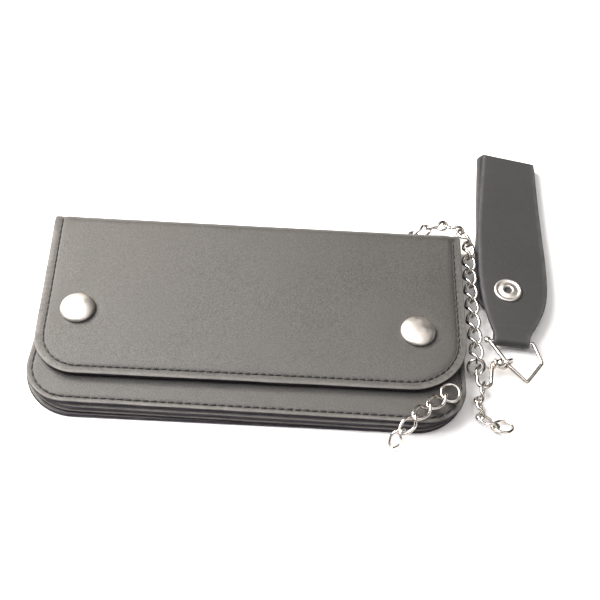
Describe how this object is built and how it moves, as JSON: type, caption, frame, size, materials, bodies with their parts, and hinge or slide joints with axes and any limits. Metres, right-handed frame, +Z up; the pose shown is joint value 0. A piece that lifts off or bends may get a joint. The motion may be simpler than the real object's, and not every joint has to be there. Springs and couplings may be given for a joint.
{
  "type": "chain wallet",
  "caption": "Long leather wallet closed by a snapped flap, with a curb chain, swivel hook and a folded belt strap.",
  "frame": {"origin": "centre of the wallet's flat back face, on the table", "axes": "+X along the wallet towards the chain side, +Y towards the folded spine, +Z up through the closed flap"},
  "size_m": [0.234, 0.1701, 0.016],
  "materials": {
    "black_leather": "grained black cowhide with a soft sheen",
    "strap_leather": "smooth black strap leather, matt",
    "lining_leather": "plain flesh side, matt",
    "nickel": "bright nickel plate",
    "zip_cloth": "woven black tape"
  },
  "bodies": {
    "wallet": {"cover_back": "black_leather", "bill_divider": "lining_leather", "coin_pocket_back": "black_leather", "coin_pocket_front": "black_leather", "coin_pocket_top_strip": "black_leather", "card_pocket_left": "lining_leather", "card_pocket_right": "lining_leather", "front_panel": "black_leather", "zip_tape_lower": "zip_cloth", "zip_tape_upper": "zip_cloth", "zip_stop_left": "nickel", "zip_stop_right": "nickel", "snap_stud_left": "nickel", "snap_stud_right": "nickel", "snap_post_left": "nickel", "snap_post_right": "nickel", "anchor_tab": "black_leather", "anchor_eyelet": "nickel"},
    "flap": {"cover_flap": "black_leather", "flap_lining": "lining_leather", "snap_cap_left": "nickel", "snap_cap_right": "nickel", "snap_socket_left": "nickel", "snap_socket_right": "nickel"},
    "slider": {"zip_slider": "nickel"},
    "pull": {"zip_pull": "nickel"},
    "chain_a_01": {"chain_a_01": "nickel"},
    "chain_a_02": {"chain_a_02": "nickel"},
    "chain_a_03": {"chain_a_03": "nickel"},
    "chain_a_04": {"chain_a_04": "nickel"},
    "chain_a_05": {"chain_a_05": "nickel"},
    "chain_a_06": {"chain_a_06": "nickel"},
    "chain_a_07": {"chain_a_07": "nickel"},
    "chain_a_08": {"chain_a_08": "nickel"},
    "chain_a_09": {"chain_a_09": "nickel"},
    "chain_a_10": {"chain_a_10": "nickel"},
    "chain_a_11": {"chain_a_11": "nickel"},
    "chain_a_12": {"chain_a_12": "nickel"},
    "chain_b_01": {"chain_b_01": "nickel"},
    "chain_b_02": {"chain_b_02": "nickel"},
    "chain_b_03": {"chain_b_03": "nickel"},
    "chain_b_04": {"chain_b_04": "nickel"},
    "chain_b_ring": {"chain_b_ring": "nickel"},
    "chain_c_01": {"chain_c_01": "nickel"},
    "chain_c_02": {"chain_c_02": "nickel"},
    "chain_c_03": {"chain_c_03": "nickel"},
    "hook_ring": {"hook_ring": "nickel"},
    "hook_gate": {"hook_gate": "nickel"},
    "end_ring": {"end_ring": "nickel"},
    "wire_loop": {"wire_loop": "nickel"},
    "hook": {"hook_body": "nickel"},
    "swivel": {"swivel_eye": "nickel"},
    "strap_front": {"strap_front_leaf": "strap_leather", "strap_snap_stud": "nickel", "strap_snap_post": "nickel"},
    "strap_back": {"strap_back_leaf": "strap_leather", "strap_snap_cap": "nickel", "strap_snap_socket": "nickel"}
  },
  "joints": [
    {"name": "flap_fold", "type": "hinge", "parent": "wallet", "child": "flap", "pos_m": [0, 0.0455, 0.013], "axis": [-1, 0, 0], "range_deg": [0, 175]},
    {"name": "zip_slide", "type": "slide", "parent": "wallet", "child": "slider", "axis": [1, 0, 0], "range_m": [-0.124, 0]},
    {"name": "zip_pull_lift", "type": "hinge", "parent": "slider", "child": "pull", "pos_m": [0.062, 0.029, 0.00755], "axis": [0, 1, 0], "range_deg": [0, 6]},
    {"name": "chain_a_01_swing", "type": "hinge", "parent": "wallet", "child": "chain_a_01", "pos_m": [0.073, 0.055, 0.0032], "axis": [1, 0, 0], "range_deg": [-10, 10]},
    {"name": "chain_a_02_swing", "type": "hinge", "parent": "chain_a_01", "child": "chain_a_02", "pos_m": [0.07998, 0.05948, 0.00451], "axis": [-1, 0, 0], "range_deg": [-18, 18]},
    {"name": "chain_a_03_swing", "type": "hinge", "parent": "chain_a_02", "child": "chain_a_03", "pos_m": [0.08817, 0.0609, 0.00574], "axis": [1, 0, 0], "range_deg": [-18, 18]},
    {"name": "chain_a_04_swing", "type": "hinge", "parent": "chain_a_03", "child": "chain_a_04", "pos_m": [0.09546, 0.05684, 0.00667], "axis": [-1, 0, 0], "range_deg": [-20, 20]},
    {"name": "chain_a_05_swing", "type": "hinge", "parent": "chain_a_04", "child": "chain_a_05", "pos_m": [0.09864, 0.04909, 0.00737], "axis": [1, 0, 0], "range_deg": [-25, 25]},
    {"name": "chain_a_06_swing", "type": "hinge", "parent": "chain_a_05", "child": "chain_a_06", "pos_m": [0.09821, 0.04071, 0.00779], "axis": [-1, 0, 0], "range_deg": [-25, 25]},
    {"name": "chain_a_07_swing", "type": "hinge", "parent": "chain_a_06", "child": "chain_a_07", "pos_m": [0.09813, 0.03231, 0.00791], "axis": [1, 0, 0], "range_deg": [-25, 25]},
    {"name": "chain_a_08_swing", "type": "hinge", "parent": "chain_a_07", "child": "chain_a_08", "pos_m": [0.0981, 0.02391, 0.008], "axis": [-1, 0, 0], "range_deg": [-25, 25]},
    {"name": "chain_a_09_swing", "type": "hinge", "parent": "chain_a_08", "child": "chain_a_09", "pos_m": [0.09809, 0.01551, 0.00811], "axis": [1, 0, 0], "range_deg": [-25, 25]},
    {"name": "chain_a_10_swing", "type": "hinge", "parent": "chain_a_09", "child": "chain_a_10", "pos_m": [0.09811, 0.00712, 0.00827], "axis": [-1, 0, 0], "range_deg": [-25, 25]},
    {"name": "chain_a_11_swing", "type": "hinge", "parent": "chain_a_10", "child": "chain_a_11", "pos_m": [0.09822, -0.00128, 0.00859], "axis": [1, 0, 0], "range_deg": [-25, 25]},
    {"name": "chain_a_12_swing", "type": "hinge", "parent": "chain_a_11", "child": "chain_a_12", "pos_m": [0.09836, -0.00967, 0.00896], "axis": [-1, 0, 0], "range_deg": [-25, 25]},
    {"name": "hook_ring_swing", "type": "hinge", "parent": "chain_a_12", "child": "hook_ring", "pos_m": [0.0985, -0.01806, 0.00933], "axis": [1, 0, 0], "range_deg": [-20, 20]},
    {"name": "hook_swing", "type": "hinge", "parent": "hook_ring", "child": "hook", "pos_m": [0.0989, -0.0207, 0.0053], "axis": [-1, 0, 0], "range_deg": [-15, 15]},
    {"name": "hook_gate_open", "type": "hinge", "parent": "hook", "child": "hook_gate", "pos_m": [0.1043, -0.0194, 0.0053], "axis": [0, 0, 1], "range_deg": [0, 12]},
    {"name": "swivel_turn", "type": "hinge", "parent": "hook", "child": "swivel", "pos_m": [0.1069, -0.0166, 0.0053], "axis": [1, 0, 0], "range_deg": [-90, 90]},
    {"name": "loop_swing", "type": "hinge", "parent": "swivel", "child": "wire_loop", "pos_m": [0.1128, -0.0167, 0.0053], "axis": [-0.5678, 0.8231, 0], "range_deg": [0, 75]},
    {"name": "strap_swing", "type": "hinge", "parent": "wire_loop", "child": "strap_front", "pos_m": [0.11554, -0.00446, 0.00523], "axis": [0.9973, -0.0732, 0], "range_deg": [-80, 80]},
    {"name": "strap_fold", "type": "hinge", "parent": "strap_front", "child": "strap_back", "pos_m": [0.1238, 0.10801, 0.00297], "axis": [0.9973, -0.0732, 0], "range_deg": [0, 150]},
    {"name": "chain_b_01_lift", "type": "hinge", "parent": "wallet", "child": "chain_b_01", "pos_m": [0.0606, -0.059, 0.0032], "axis": [0.6375, -0.7704, 0], "range_deg": [0, 20]},
    {"name": "chain_b_02_lift", "type": "hinge", "parent": "chain_b_01", "child": "chain_b_02", "pos_m": [0.06443, -0.05583, 0.01009], "axis": [0.7316, -0.6817, 0], "range_deg": [0, 20]},
    {"name": "chain_b_03_lift", "type": "hinge", "parent": "chain_b_02", "child": "chain_b_03", "pos_m": [0.06986, -0.05001, 0.01307], "axis": [0.6771, -0.7359, 0], "range_deg": [0, 20]},
    {"name": "chain_b_04_lift", "type": "hinge", "parent": "chain_b_03", "child": "chain_b_04", "pos_m": [0.07611, -0.04425, 0.01281], "axis": [0.6066, -0.795, 0], "range_deg": [0, 20]},
    {"name": "chain_b_ring_lift", "type": "hinge", "parent": "chain_b_04", "child": "chain_b_ring", "pos_m": [0.08286, -0.0391, 0.01247], "axis": [0.6066, -0.795, 0], "range_deg": [0, 15]},
    {"name": "chain_c_01_swing", "type": "hinge", "parent": "hook", "child": "chain_c_01", "pos_m": [0.1017, -0.0283, 0.0053], "axis": [1, 0, 0], "range_deg": [-20, 20]},
    {"name": "chain_c_02_swing", "type": "hinge", "parent": "chain_c_01", "child": "chain_c_02", "pos_m": [0.09897, -0.03566, 0.00444], "axis": [-1, 0, 0], "range_deg": [-20, 20]},
    {"name": "chain_c_03_swing", "type": "hinge", "parent": "chain_c_02", "child": "chain_c_03", "pos_m": [0.09938, -0.04353, 0.00382], "axis": [1, 0, 0], "range_deg": [-12, 12]},
    {"name": "end_ring_swing", "type": "hinge", "parent": "chain_c_03", "child": "end_ring", "pos_m": [0.10578, -0.04815, 0.00343], "axis": [1, 0, 0], "range_deg": [-20, 20]}
  ]
}
